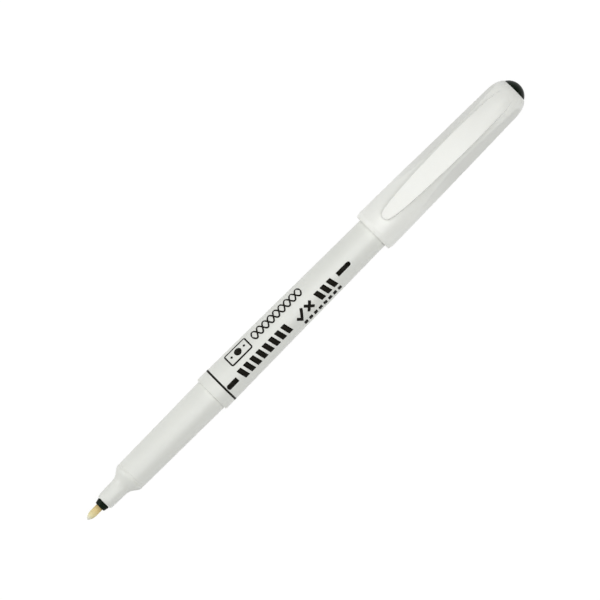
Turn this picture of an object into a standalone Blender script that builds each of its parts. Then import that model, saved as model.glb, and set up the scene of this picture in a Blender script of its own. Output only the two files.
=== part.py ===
"""Counterfeit detector pen with its cap posted on its tail, in metres, +Z up.

The pen lies along X, nib towards -X, clip upwards. Y = 0 is its plane of symmetry, Z = 0 is the lowest
point of the cap and X = 0 is half way along. Lengths in this file are millimetres until a mesh is made.
A station is a distance back from the tip of the nib, along the pen's axis.
"""

import math

import bmesh
import bpy
from mathutils import Matrix, Vector

MM = 0.001
SEGMENTS = 24
FLATS_TO_CORNERS = 1 / math.cos(math.pi / SEGMENTS)
MERGE_DISTANCE = 1e-7
SMOOTH_ANGLE = math.radians(35)

# Clearances between pieces that are pressed together on the real pen
FIT_GAP = 0.15
SEAT_GAP = 0.2

# Whole pen
CAP_RADIUS = 5.9
CAP_END = 151.3
PLUG_DOME_HEIGHT = 1.8
LENGTH = CAP_END + SEAT_GAP + PLUG_DOME_HEIGHT
AXIS_HEIGHT = CAP_RADIUS

# Nib, a fibre rod
NIB_RADIUS = 1.0
NIB_POINT_LENGTH = 2.4
NIB_POINT_POWER = 0.65
NIB_POINT_STEPS = 6
NIB_BLUNT_RADIUS = 0.12
NIB_END = 25.8

# Holder that grips the nib
HOLDER_FRONT = 4.45
HOLDER_BASE = 5.88
HOLDER_END = 14.5
HOLDER_FRONT_RADIUS = 1.45
HOLDER_BASE_RADIUS = 1.78
HOLDER_STEM_RADIUS = 1.45
HOLDER_BORE_RADIUS = 1.1
HOLDER_EDGE_BEVEL = 0.08

# Front section: neck, flare, grip and spigot
NECK_FRONT = 6.03
NECK_FRONT_RADIUS = 2.05
NECK_FRONT_BEVEL = 0.25
NECK_LEAD_LENGTH = 1.0
NECK_LEAD_RADIUS = 2.3
NECK_RADIUS = 2.4
NECK_BORE_RADIUS = HOLDER_STEM_RADIUS + FIT_GAP
FLARE_START = 9.5
FLARE_END = 15.0
FLARE_SKEW = 2.1
FLARE_STEPS = 9
GRIP_FRONT = 15.8
GRIP_FRONT_RADIUS = 4.16
GRIP_GROOVE_DEPTH = 0.07
GRIP_GROOVE_WIDTH = 0.3
GRIP_REAR_RADIUS = 4.55
GRIP_REAR = 45.1
SPIGOT_RADIUS = 4.05
SPIGOT_BORE_RADIUS = 3.35
SPIGOT_END = 54.0
SPIGOT_END_BEVEL = 0.3

# Barrel, which tapers from its front rim to its closed rear end
BARREL_FRONT = 44.1
BARREL_FRONT_RADIUS = 5.12
BARREL_RIM_BEVEL = 0.18
BARREL_COUNTERBORE_RADIUS = 4.66
BARREL_COUNTERBORE_END = 45.4
BARREL_BORE_FRONT_RADIUS = 4.22
BARREL_BORE_REAR_RADIUS = 3.45
BARREL_BORE_END = 123.4
BARREL_END = 125.0
BARREL_REAR_RADIUS = 4.13
BARREL_REAR_ROUND = 0.7

# Ink reservoir and its wrap
RESERVOIR_START = 21.0
RESERVOIR_END = 118.0
RESERVOIR_RADIUS = 2.8
RESERVOIR_SOCKET_DEPTH = 5.1
FILM_THICKNESS = 0.15
FILM_INSET = 0.5
FILM_RADIUS = RESERVOIR_RADIUS + FIT_GAP + FILM_THICKNESS

# Cap shell
CAP_FRONT = 101.1
CAP_FRONT_RADIUS = 5.62
CAP_WIDEST = 102.4
CAP_TAPER_END = 145.0
CAP_REAR_RADIUS = 5.1
CAP_TAPER_CROWN = 0.05
CAP_TAPER_STEPS = 6
DOME_LENGTH = 7.2
DOME_POWER = 3
DOME_STEPS = 7
CAP_BORE_RADIUS = 4.85
CAP_BORE_BEVEL = 0.15
CAP_BORE_REAR_RADIUS = 4.4
CAP_BORE_REAR = 130.1
LINER_SEAT_START = 132.6
LINER_SEAT_END = 146.9

# Flats on both sides of the clip, which run out towards the mouth along a large arc
SIDE_FLAT_ANGLE = math.radians(66)
SIDE_FLAT_DISTANCE = 4.92
SIDE_FLAT_START = 130.0
SIDE_FLAT_ARC_RADIUS = 160.0
SIDE_FLAT_ARC_STEPS = 6
SIDE_FLAT_HALF_WIDTH = 6.0
SIDE_FLAT_RUN_OUT_HEIGHT = 1.4
CUTTER_REACH = 9.0
CUTTER_OVERRUN = 1.0

# Liner that seals on the neck when the pen is capped
LINER_START = 134.2
LINER_END = 146.7
LINER_RADIUS = 3.2
LINER_BORE_RADIUS = 2.55
LINER_MOUTH_RADIUS = 2.9
LINER_LEAD_IN = 0.8
LINER_END_WALL = 0.8

# Plug in the cap's end
PLUG_BASE_RADIUS = 3.4
PLUG_DOME_RADIUS = (PLUG_BASE_RADIUS**2 + PLUG_DOME_HEIGHT**2) / (2 * PLUG_DOME_HEIGHT)
PLUG_STEM_RADIUS = 2.3
PLUG_STEM_LENGTH = 3.0
PLUG_HOLE_DEPTH = 3.35
PLUG_DOME_STEPS = 6

# Clip: a tongue with a blunt round tip, cut off at its root
CLIP_CENTRE = 132.35
CLIP_HALF_LENGTH = 27.0
CLIP_HALF_WIDTH = 2.86
CLIP_TIP_POWERS = (1.5, 0.25)
CLIP_REAR_POWERS = (2.15, 0.465)
CLIP_ROOT = 147.45
CLIP_TOP = 7.25
CLIP_BEND_START = 112.35
CLIP_ROOT_DROP = 1.98
CLIP_BEND_POWER = 3
CLIP_THICKNESS = 1.05
CLIP_ROOT_THICKNESS = 0.95
CLIP_EDGE_ROUND = 0.3
CLIP_STEPS = 20
CLIP_TIP_SHARE = 0.4
CLIP_HINGE = 147.6
CLIP_HINGE_HEIGHT = 4.8

# Slot in the cap below the clip, and the swelling that carries its root
CHANNEL_SIDE_GAP = 0.35
CHANNEL_START = 114.0
CHANNEL_START_HEIGHT = 5.9
CHANNEL_END = 147.75
CHANNEL_END_HEIGHT = 4.0
CHANNEL_STEPS = 12
ROOT_CENTRE = 147.3
ROOT_HEIGHT = 3.9
ROOT_HALF_SIZES = (3.0, 2.3, 1.48)
ROOT_RINGS = 8

WHITE_PLASTIC = ("white_plastic", (0.83, 0.84, 0.82), 0.42)
GREEN_PLASTIC = ("dark_green_plastic", (0.008, 0.030, 0.022), 0.30)
NIB_FIBRE = ("nib_fibre", (0.78, 0.58, 0.25), 0.85)
RESERVOIR_FIBRE = ("reservoir_fibre", (0.86, 0.84, 0.78), 0.95)
FILM_PLASTIC = ("film_plastic", (0.80, 0.82, 0.84), 0.20)
LINER_PLASTIC = ("liner_plastic", (0.78, 0.79, 0.78), 0.50)


def clear_scene():
    for old in list(bpy.data.objects):
        bpy.data.objects.remove(old)


def make_material(name, look):
    colour, roughness = look[1:]
    material = bpy.data.materials.new(name + "_" + look[0])
    material.use_nodes = True
    shader = material.node_tree.nodes["Principled BSDF"]
    shader.inputs["Base Color"].default_value = (*colour, 1)
    shader.inputs["Roughness"].default_value = roughness
    shader.inputs["Metallic"].default_value = 0
    return material


def make_object(name, shape, look, origin=(LENGTH / 2, 0)):
    """An object from a bmesh in millimetres. Its origin is at this station and height above the axis."""
    station, height = origin
    bmesh.ops.translate(shape, verts=shape.verts, vec=(-station, 0, -height))
    bmesh.ops.scale(shape, verts=shape.verts, vec=(MM, MM, MM))
    bmesh.ops.recalc_face_normals(shape, faces=shape.faces)
    mesh = bpy.data.meshes.new(name)
    shape.to_mesh(mesh)
    shape.free()
    piece = bpy.data.objects.new(name, mesh)
    piece.location = ((station - LENGTH / 2) * MM, 0, (AXIS_HEIGHT + height) * MM)
    bpy.context.scene.collection.objects.link(piece)
    mesh.shade_smooth()
    mesh.set_sharp_from_angle(angle=SMOOTH_ANGLE)
    if look:
        mesh.materials.append(make_material(name, look))
    return piece


def turned(name, section, look):
    """A solid of revolution, measured across its flats, with one flat facing straight down.

    section lists (station, radius). If it starts and ends off the axis, it is closed into a ring.
    """
    shape = bmesh.new()
    points = [shape.verts.new((station, 0, radius * FLATS_TO_CORNERS)) for station, radius in section]
    edges = [shape.edges.new(pair) for pair in zip(points, points[1:])]
    if section[0][1] > 0:
        edges.append(shape.edges.new((points[-1], points[0])))
    half_step = Matrix.Rotation(math.pi / SEGMENTS, 3, "X")
    bmesh.ops.rotate(shape, verts=points, cent=(0, 0, 0), matrix=half_step)
    bmesh.ops.spin(
        shape,
        geom=points + edges,
        cent=(0, 0, 0),
        axis=(1, 0, 0),
        angle=2 * math.pi,
        steps=SEGMENTS,
        use_merge=True,
    )
    bmesh.ops.remove_doubles(shape, verts=shape.verts, dist=MERGE_DISTANCE)
    return make_object(name, shape, look)


def lofted(name, rings, look, origin=(LENGTH / 2, 0)):
    """A closed solid through rings of points, each ring with the same number of points in the same order."""
    shape = bmesh.new()
    loops = [[shape.verts.new(point) for point in ring] for ring in rings]
    for front, back in zip(loops, loops[1:]):
        for i in range(len(front)):
            shape.faces.new((front[i - 1], front[i], back[i], back[i - 1]))
    shape.faces.new(loops[0])
    shape.faces.new(loops[-1])
    return make_object(name, shape, look, origin)


def steps(start, end, count):
    """count + 1 evenly spaced values from start to end."""
    return [start + (end - start) * i / count for i in range(count + 1)]


def boolean(piece, cutter, operation):
    cutter.hide_render = True
    cutter.display_type = "WIRE"
    modifier = piece.modifiers.new(operation.lower() + "_" + cutter.name, "BOOLEAN")
    modifier.operation = operation
    modifier.object = cutter


def make_nib():
    point = []
    for station in steps(0, NIB_POINT_LENGTH, NIB_POINT_STEPS):
        fraction = 1 - (NIB_POINT_LENGTH - station) ** 2 / NIB_POINT_LENGTH**2
        point.append((station, max(NIB_BLUNT_RADIUS, NIB_RADIUS * fraction**NIB_POINT_POWER)))
    return turned("nib", [(0, 0), *point, (NIB_END, NIB_RADIUS), (NIB_END, 0)], NIB_FIBRE)


def make_nib_holder():
    section = [
        (HOLDER_FRONT, HOLDER_BORE_RADIUS),
        (HOLDER_FRONT, HOLDER_FRONT_RADIUS - HOLDER_EDGE_BEVEL),
        (HOLDER_FRONT + HOLDER_EDGE_BEVEL, HOLDER_FRONT_RADIUS),
        (HOLDER_BASE - HOLDER_EDGE_BEVEL, HOLDER_BASE_RADIUS),
        (HOLDER_BASE, HOLDER_BASE_RADIUS - HOLDER_EDGE_BEVEL),
        (HOLDER_BASE, HOLDER_STEM_RADIUS),
        (HOLDER_END, HOLDER_STEM_RADIUS),
        (HOLDER_END, HOLDER_BORE_RADIUS),
    ]
    return turned("nib_holder", section, GREEN_PLASTIC)


def flare_radius(station):
    """An S-curve from the neck to the grip that starts slowly and ends fast."""
    fraction = ((station - FLARE_START) / (FLARE_END - FLARE_START)) ** FLARE_SKEW
    blend = (1 - math.cos(math.pi * fraction)) / 2
    return NECK_RADIUS + (GRIP_FRONT_RADIUS - NECK_RADIUS) * blend


def make_front_section():
    flare = [(station, flare_radius(station)) for station in steps(FLARE_START, FLARE_END, FLARE_STEPS)]
    section = [
        (NECK_FRONT, NECK_BORE_RADIUS),
        (NECK_FRONT, NECK_FRONT_RADIUS),
        (NECK_FRONT + NECK_FRONT_BEVEL, NECK_FRONT_RADIUS + NECK_FRONT_BEVEL / 2),
        (NECK_FRONT + NECK_LEAD_LENGTH, NECK_LEAD_RADIUS),
        *flare,
        (GRIP_FRONT - GRIP_GROOVE_WIDTH, GRIP_FRONT_RADIUS),
        (GRIP_FRONT - GRIP_GROOVE_WIDTH / 2, GRIP_FRONT_RADIUS - GRIP_GROOVE_DEPTH),
        (GRIP_FRONT, GRIP_FRONT_RADIUS),
        (GRIP_REAR, GRIP_REAR_RADIUS),
        (GRIP_REAR, SPIGOT_RADIUS),
        (SPIGOT_END - SPIGOT_END_BEVEL, SPIGOT_RADIUS),
        (SPIGOT_END, SPIGOT_RADIUS - SPIGOT_END_BEVEL),
        (SPIGOT_END, SPIGOT_BORE_RADIUS),
        (RESERVOIR_START - SEAT_GAP, SPIGOT_BORE_RADIUS),
        (FLARE_END, NECK_BORE_RADIUS),
    ]
    return turned("front_section", section, WHITE_PLASTIC)


def make_barrel():
    section = [
        (BARREL_BORE_END, 0),
        (BARREL_BORE_END, BARREL_BORE_REAR_RADIUS),
        (BARREL_COUNTERBORE_END, BARREL_BORE_FRONT_RADIUS),
        (BARREL_COUNTERBORE_END, BARREL_COUNTERBORE_RADIUS),
        (BARREL_FRONT, BARREL_COUNTERBORE_RADIUS),
        (BARREL_FRONT, BARREL_FRONT_RADIUS - BARREL_RIM_BEVEL),
        (BARREL_FRONT + BARREL_RIM_BEVEL, BARREL_FRONT_RADIUS),
        (BARREL_END - BARREL_REAR_ROUND, BARREL_REAR_RADIUS),
        (BARREL_END - BARREL_REAR_ROUND / 3, BARREL_REAR_RADIUS - BARREL_REAR_ROUND / 3),
        (BARREL_END, BARREL_REAR_RADIUS - BARREL_REAR_ROUND),
        (BARREL_END, 0),
    ]
    return turned("barrel", section, WHITE_PLASTIC)


def make_ink_reservoir():
    socket_radius = NIB_RADIUS + FIT_GAP
    socket_end = RESERVOIR_START + RESERVOIR_SOCKET_DEPTH
    section = [
        (socket_end, 0),
        (socket_end, socket_radius),
        (RESERVOIR_START, socket_radius),
        (RESERVOIR_START, RESERVOIR_RADIUS),
        (RESERVOIR_END, RESERVOIR_RADIUS),
        (RESERVOIR_END, 0),
    ]
    return turned("ink_reservoir", section, RESERVOIR_FIBRE)


def make_reservoir_film():
    inner = FILM_RADIUS - FILM_THICKNESS
    start = RESERVOIR_START + FILM_INSET
    end = RESERVOIR_END - FILM_INSET
    section = [(start, inner), (start, FILM_RADIUS), (end, FILM_RADIUS), (end, inner)]
    return turned("reservoir_film", section, FILM_PLASTIC)


def cap_outline():
    """The cap's outside, from its mouth to its end: a nearly straight taper, then a full dome."""
    taper = []
    for i in range(CAP_TAPER_STEPS + 1):
        fraction = i / CAP_TAPER_STEPS
        radius = CAP_RADIUS + (CAP_REAR_RADIUS - CAP_RADIUS) * fraction
        radius += 4 * CAP_TAPER_CROWN * fraction * (1 - fraction)
        taper.append((CAP_WIDEST + (CAP_TAPER_END - CAP_WIDEST) * fraction, radius))
    dome = []
    for station in steps(CAP_TAPER_END, CAP_END, DOME_STEPS)[1:]:
        fraction = (station - CAP_TAPER_END) / DOME_LENGTH
        dome.append((station, CAP_REAR_RADIUS * (1 - fraction**DOME_POWER) ** (1 / DOME_POWER)))
    return [(CAP_FRONT, CAP_FRONT_RADIUS), *taper, *dome]


def cap_section():
    hole_radius = PLUG_STEM_RADIUS + FIT_GAP
    liner_seat_radius = LINER_RADIUS + FIT_GAP
    return [
        (LINER_SEAT_END, 0),
        (LINER_SEAT_END, liner_seat_radius),
        (LINER_SEAT_START, liner_seat_radius),
        (CAP_BORE_REAR, CAP_BORE_REAR_RADIUS),
        (CAP_FRONT + CAP_BORE_BEVEL, CAP_BORE_RADIUS),
        (CAP_FRONT, CAP_BORE_RADIUS + CAP_BORE_BEVEL),
        *cap_outline(),
        (CAP_END, hole_radius),
        (CAP_END - PLUG_HOLE_DEPTH, hole_radius),
        (CAP_END - PLUG_HOLE_DEPTH, 0),
    ]


def side_flat_cutter(side):
    """A block whose inner face is flat beside the clip's root and curves outwards towards the mouth."""
    run_out = math.sqrt(2 * SIDE_FLAT_ARC_RADIUS * SIDE_FLAT_RUN_OUT_HEIGHT)
    inner = [(CAP_END + CUTTER_OVERRUN, SIDE_FLAT_DISTANCE)]
    for distance in steps(0, run_out, SIDE_FLAT_ARC_STEPS):
        rise = distance**2 / (2 * SIDE_FLAT_ARC_RADIUS)
        inner.append((SIDE_FLAT_START - distance, SIDE_FLAT_DISTANCE + rise))
    outline = [*inner, (inner[-1][0], CUTTER_REACH), (inner[0][0], CUTTER_REACH)]
    turn = Matrix.Rotation(side * SIDE_FLAT_ANGLE, 3, "X")
    rings = []
    for across in (-SIDE_FLAT_HALF_WIDTH, SIDE_FLAT_HALF_WIDTH):
        rings.append([turn @ Vector((x, across, z)) for x, z in outline])
    name = "side_flat_cutter_right" if side > 0 else "side_flat_cutter_left"
    return lofted(name, rings, None)


def clip_half_width(station):
    """The clip seen from above is an ellipse squared off more at its tip than at its rear."""
    fraction = min(1, abs(station - CLIP_CENTRE) / CLIP_HALF_LENGTH)
    inner_power, outer_power = CLIP_TIP_POWERS if station < CLIP_CENTRE else CLIP_REAR_POWERS
    return CLIP_HALF_WIDTH * (1 - fraction**inner_power) ** outer_power


def clip_top(station):
    """Height of the clip's top above the axis: level at the tip, and bending down to the root."""
    fraction = max(0, (station - CLIP_BEND_START) / (CLIP_ROOT - CLIP_BEND_START))
    return CLIP_TOP - CLIP_ROOT_DROP * fraction**CLIP_BEND_POWER


def channel_cutter():
    """A ramp under the clip, with the clip's own outline and a gap all round it."""
    rings = []
    for station in steps(CHANNEL_START, CHANNEL_END, CHANNEL_STEPS):
        fraction = (station - CHANNEL_START) / (CHANNEL_END - CHANNEL_START)
        floor = CHANNEL_START_HEIGHT + (CHANNEL_END_HEIGHT - CHANNEL_START_HEIGHT) * fraction
        half = clip_half_width(station) + CHANNEL_SIDE_GAP
        rings.append(
            [
                (station, -half, floor),
                (station, half, floor),
                (station, half, CUTTER_REACH),
                (station, -half, CUTTER_REACH),
            ]
        )
    return lofted("channel_cutter", rings, None)


def root_swelling():
    """The upper half of an egg, swelling the dome where the clip grows out of it."""
    shape = bmesh.new()
    bmesh.ops.create_uvsphere(shape, u_segments=SEGMENTS // 2, v_segments=ROOT_RINGS, radius=1)
    lower_half = [corner for corner in shape.verts if corner.co.z < -MERGE_DISTANCE]
    bmesh.ops.delete(shape, geom=lower_half, context="VERTS")
    bmesh.ops.contextual_create(shape, geom=[edge for edge in shape.edges if edge.is_boundary])
    bmesh.ops.scale(shape, verts=shape.verts, vec=ROOT_HALF_SIZES)
    bmesh.ops.translate(shape, verts=shape.verts, vec=(ROOT_CENTRE, 0, ROOT_HEIGHT))
    return make_object("root_swelling", shape, None)


def make_cap_shell():
    shell = turned("cap_shell", cap_section(), WHITE_PLASTIC)
    boolean(shell, root_swelling(), "UNION")
    boolean(shell, side_flat_cutter(-1), "DIFFERENCE")
    boolean(shell, side_flat_cutter(1), "DIFFERENCE")
    boolean(shell, channel_cutter(), "DIFFERENCE")
    return shell


def make_inner_cap():
    section = [
        (LINER_END - LINER_END_WALL, 0),
        (LINER_END - LINER_END_WALL, LINER_BORE_RADIUS),
        (LINER_START + LINER_LEAD_IN, LINER_BORE_RADIUS),
        (LINER_START, LINER_MOUTH_RADIUS),
        (LINER_START, LINER_RADIUS),
        (LINER_END, LINER_RADIUS),
        (LINER_END, 0),
    ]
    return turned("inner_cap", section, LINER_PLASTIC)


def make_cap_plug():
    base = CAP_END + SEAT_GAP
    centre = base - math.sqrt(PLUG_DOME_RADIUS**2 - PLUG_BASE_RADIUS**2)
    widest_turn = math.asin(PLUG_BASE_RADIUS / PLUG_DOME_RADIUS)
    dome = []
    for turn in steps(widest_turn, 0, PLUG_DOME_STEPS)[:-1]:
        dome.append((centre + PLUG_DOME_RADIUS * math.cos(turn), PLUG_DOME_RADIUS * math.sin(turn)))
    section = [
        (base - PLUG_STEM_LENGTH, 0),
        (base - PLUG_STEM_LENGTH, PLUG_STEM_RADIUS),
        (base, PLUG_STEM_RADIUS),
        *dome,
        (centre + PLUG_DOME_RADIUS, 0),
    ]
    return turned("cap_plug", section, GREEN_PLASTIC)


def clip_ring(station):
    """The clip's section at this station: a flat bar with rounded top edges."""
    fraction = max(0, (station - CLIP_BEND_START) / (CLIP_ROOT - CLIP_BEND_START))
    thickness = CLIP_THICKNESS + (CLIP_ROOT_THICKNESS - CLIP_THICKNESS) * fraction
    half = clip_half_width(station)
    top = clip_top(station)
    bottom = top - thickness
    edge = min(CLIP_EDGE_ROUND, half / 2)
    right = [(half, bottom), (half, top - edge), (half - edge / 3, top - edge / 3), (half - edge, top)]
    left = [(-across, height) for across, height in reversed(right)]
    return [(station, across, height) for across, height in right + left]


def make_clip():
    """Stations crowd together at the tip, where the outline turns fastest, and stop short of its point."""
    tip = CLIP_CENTRE - CLIP_HALF_LENGTH
    rings = []
    for i in range(CLIP_STEPS + 1):
        fraction = (i + CLIP_TIP_SHARE) / (CLIP_STEPS + CLIP_TIP_SHARE)
        rings.append(clip_ring(tip + (CLIP_ROOT - tip) * fraction**2))
    hinge = (CLIP_HINGE, CLIP_HINGE_HEIGHT)
    return lofted("clip", rings, WHITE_PLASTIC, origin=hinge)


def main():
    clear_scene()
    make_nib()
    make_nib_holder()
    make_front_section()
    make_barrel()
    make_ink_reservoir()
    make_reservoir_film()
    make_cap_shell()
    make_inner_cap()
    make_cap_plug()
    make_clip()


main()
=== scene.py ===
"""Looks for a counterfeit detector pen that lies on a pale floor with its cap posted on its tail.

Lengths are millimetres until a mesh is made. A station is a distance back from the tip of the nib, along
the pen's axis. An angle round the axis starts at the clip, and grows towards -Y.
"""

import math

import bmesh
import bpy
import numpy as np
from mathutils import Matrix, Vector


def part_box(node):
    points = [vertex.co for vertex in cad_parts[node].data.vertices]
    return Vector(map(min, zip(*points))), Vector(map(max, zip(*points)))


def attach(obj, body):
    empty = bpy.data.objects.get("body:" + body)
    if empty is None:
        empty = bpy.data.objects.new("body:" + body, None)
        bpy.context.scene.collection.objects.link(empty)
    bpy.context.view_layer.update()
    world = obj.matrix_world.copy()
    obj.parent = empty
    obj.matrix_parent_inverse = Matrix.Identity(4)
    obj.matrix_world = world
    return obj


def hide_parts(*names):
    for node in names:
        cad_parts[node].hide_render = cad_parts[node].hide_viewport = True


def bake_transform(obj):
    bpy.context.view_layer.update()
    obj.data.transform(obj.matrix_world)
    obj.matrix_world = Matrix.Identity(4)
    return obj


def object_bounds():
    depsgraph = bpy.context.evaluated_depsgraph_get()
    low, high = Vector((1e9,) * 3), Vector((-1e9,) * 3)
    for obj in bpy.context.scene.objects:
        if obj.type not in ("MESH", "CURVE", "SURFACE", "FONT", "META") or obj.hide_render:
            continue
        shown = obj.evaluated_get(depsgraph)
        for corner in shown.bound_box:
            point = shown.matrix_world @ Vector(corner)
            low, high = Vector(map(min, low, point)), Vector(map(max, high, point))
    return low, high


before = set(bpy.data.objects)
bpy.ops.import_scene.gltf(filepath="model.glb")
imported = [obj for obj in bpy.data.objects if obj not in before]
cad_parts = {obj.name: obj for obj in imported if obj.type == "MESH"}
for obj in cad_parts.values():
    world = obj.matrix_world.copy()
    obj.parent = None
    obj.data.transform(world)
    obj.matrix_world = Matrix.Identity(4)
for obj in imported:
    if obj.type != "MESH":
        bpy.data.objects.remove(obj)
cad_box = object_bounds()

MM = 0.001
TAU = 2 * math.pi
ROUND_SEGMENTS = 160
CORNER_STEPS = 5
SHARP_ANGLE = math.radians(40)

NIB_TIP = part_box("nib")[0].x / MM
AXIS_HEIGHT = (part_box("barrel")[0].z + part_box("barrel")[1].z) / 2 / MM


def station_of(node, end):
    """The station of a CAD node's front (end 0) or rear (end 1)."""
    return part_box(node)[end].x / MM - NIB_TIP


def radius_of(node):
    low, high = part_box(node)
    return (high.y - low.y) / 2 / MM


# Nib and its holder
NIB_RADIUS = radius_of("nib")
NIB_POINT_START = 0.02
NIB_POINT_LENGTH = 2.4
NIB_POINT_POWER = 0.65
HOLDER_FRONT = station_of("nib_holder", 0)
HOLDER_CONE_LENGTH = 1.43
HOLDER_BASE = HOLDER_FRONT + HOLDER_CONE_LENGTH
HOLDER_END = station_of("nib_holder", 1)
HOLDER_BASE_RADIUS = radius_of("nib_holder")
HOLDER_FRONT_RADIUS = 1.45
HOLDER_STEM_RADIUS = 1.45
HOLDER_BORE_RADIUS = 1.08

# Front section
NECK_FRONT = station_of("front_section", 0)
NECK_FRONT_RADIUS = 2.16
NECK_TAPER_LENGTH = 1.0
NECK_TAPER_RADIUS = 2.32
NECK_RADIUS = 2.4
NECK_BORE_RADIUS = 1.6
FLARE_START = 9.5
FLARE_END = 15.0
FLARE_SKEW = 2.1
GRIP_FRONT = 15.8
GRIP_FRONT_RADIUS = 4.16
GRIP_GROOVE_OFFSETS = (0.3, 0.22, 0.08)
GRIP_GROOVE_DEPTH = 0.06
GRIP_REAR = 45.1
GRIP_REAR_RADIUS = radius_of("front_section")
SPIGOT_RADIUS = 4.05
SPIGOT_BORE_RADIUS = 3.35
SPIGOT_END = station_of("front_section", 1)
SPIGOT_BORE_START = 20.8

# Barrel
BARREL_FRONT = station_of("barrel", 0)
BARREL_END = station_of("barrel", 1)
BARREL_RADIUS = radius_of("barrel")
BARREL_REAR_RADIUS = 4.13
BARREL_REAR_ROUND = 0.7
BARREL_RIM = 0.18
BARREL_COUNTERBORE_RADIUS = 4.66
BARREL_COUNTERBORE_END = 45.4
BARREL_BORE_RADII = (4.22, 3.45)
BARREL_BORE_END = 123.4

# Cap shell
CAP_FRONT = station_of("cap_shell", 0)
CAP_END = station_of("cap_shell", 1)
CAP_FRONT_RADIUS = 5.62
CAP_WIDEST = 102.4
LEAD_IN_POWER = 1.2
CAP_RADIUS = radius_of("cap_shell")
CAP_TAPER_END = 145.0
CAP_REAR_RADIUS = 5.1
CAP_TAPER_CROWN = 0.05
DOME_LENGTH = 7.2
DOME_POWER = 3
CAP_BORE_RADIUS = 4.85
CAP_BORE_REAR_RADIUS = 4.4
CAP_BORE_REAR = 130.1
LINER_SEAT_START = 132.6
LINER_SEAT_END = 146.9
LINER_SEAT_RADIUS = 3.35
PLUG_HOLE_RADIUS = 2.45
PLUG_HOLE_DEPTH = 3.35
SIDE_FLAT_ANGLE = math.radians(66)
SIDE_FLAT_DISTANCE = 4.92
SIDE_FLAT_START = 130.0
SIDE_FLAT_ARC_RADIUS = 160.0
# Painted shade: the colour of the cap's side flats is multiplied by this to darken them.
FLAT_PAINTED_SHADE = 0.88
FLAT_FADE = (4.0, 17.0)
FLAT_MARGIN = (0.02, 0.16)
CHANNEL_FLOOR = ((114.0, 140.5, 142.5, 145.0), (5.95, 4.45, 4.5, 5.6))
FLAT_EDGE_SOFTNESS = 0.06
FLAT_LEAST_HALF_WIDTH = math.radians(10)
FLAT_LEAST_FACING = 0.3
FAR_AWAY = 99.0
CAP_LEAD_IN_RINGS = 6
CAP_STATION_STEP = 0.25
CAP_DOME_RINGS = 40
CAP_SEGMENTS = 240
RIDGE_COLUMNS = (0, 36, 70, 120)

# Clip
CLIP_TIP = station_of("clip", 0)
CLIP_CENTRE = 132.35
CLIP_HALF_LENGTH = 27.0
CLIP_HALF_WIDTH = radius_of("clip")
CLIP_TIP_POWERS = (1.5, 0.27)
CLIP_TIP_ROUND = 0.9
CLIP_TIP_ROUND_POWER = 0.25
CLIP_REAR_POWERS = (2.15, 0.465)
CLIP_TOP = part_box("clip")[1].z / MM - AXIS_HEIGHT
CLIP_ROOT = station_of("clip", 1)
CLIP_BEND_START = 112.35
CLIP_ROOT_DROP = 1.98
CLIP_BURIED_END = 150.8
CLIP_THICKNESS = 1.05
CLIP_NOSE_LENGTH = 0.5
CLIP_NOSE_POWER = 2.4
CLIP_MELT = (146.0, 150.9)
CLIP_MELT_DEPTH = 0.06
CLIP_SOFT_ROOT = (139.0, 149.0)
CLIP_ROOT_THICKENING = ((141.5, 145.5), (0, 0.9))
CLIP_RINGS = 120
CLIP_FIRST_RING = 0.012
CLIP_RING_POWER = 2.2
CLIP_EDGE_RADIUS = 0.3
CLIP_CROWN = 0.1
CLIP_ROOT_CROWN = 0.33

# Plug and liner
PLUG_GAP = 0.05
PLUG_BASE = CAP_END + PLUG_GAP
PLUG_DOME_END = station_of("cap_plug", 1)
PLUG_BASE_RADIUS = radius_of("cap_plug")
PLUG_BASE_BEVEL = 0.08
PLUG_STEM_RADIUS = 2.3
PLUG_STEM_START = station_of("cap_plug", 0)
LINER_START = station_of("inner_cap", 0)
LINER_END = station_of("inner_cap", 1)
LINER_RADIUS = radius_of("inner_cap")
LINER_BORE_RADIUS = 2.55
LINER_MOUTH_RADIUS = 2.9
LINER_MOUTH_DEPTH = 0.8
LINER_FLOOR = 0.8

# Print on the barrel. Places round the barrel are arc lengths from the clip's side.
PRINT_RADIUS = 4.85
PRINT_PROUD = 0.012
PRINT_DEPTH = 0.02
PRINT_CUT = 0.12
DISC_SIDES = 32
RING_STATION = 47.29
RING_WIDTH = 0.55
DASH_ROUND = 0.6
BAR_LENGTH = 1.45
BAR_ARCS = (0.85, 3.8)
BAR_ROUND = 0.12
BAR_SLANT = 0.22
SIGN_ARC = 2.3
SIGN_STROKE = 0.8
NOTE_ARC = -2.55
DOT_LENGTH = 1.1
DOT_ARCS = (4.65, 5.95)
DOT_ROUND = 0.2

# View
VIEW_ROLL = math.radians(6)
PEN_TILT_IN_PICTURE = math.radians(45.125)
PICTURE_WIDTH = 150.0
PICTURE_OFFSET = (0.875, -0.545)
CAMERA_DISTANCE = 1500.0
CAMERA_FAR_METRES = 20
SENSOR_WIDTH = 36.0

# Light. A lamp's place is two angles from the view direction, towards -Y and towards the cap, in degrees.
LAMP_DISTANCE = 600.0
LAMP_SIZE = 300.0
LAMPS = {
    "key": (-60, -35, 1.2),
    "upper": (-20, 0, 0.83),
    "cap_side": (0, 12, 0.86),
    "lower": (20, 0, 1.15),
}
SKY_STRENGTH = 0.1
FLOOR_HALF_WIDTH_METRES = 6.0
FLOOR_DROP = 0.02
FLOOR_GREYS = (0.17, 0.20)
FLOOR_GLOW = 0.86


# Shapes


def place(station, across, height):
    """A point in metres from a station, a distance towards -Y and a height above the axis."""
    return ((station + NIB_TIP) * MM, -across * MM, (height + AXIS_HEIGHT) * MM)


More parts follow.
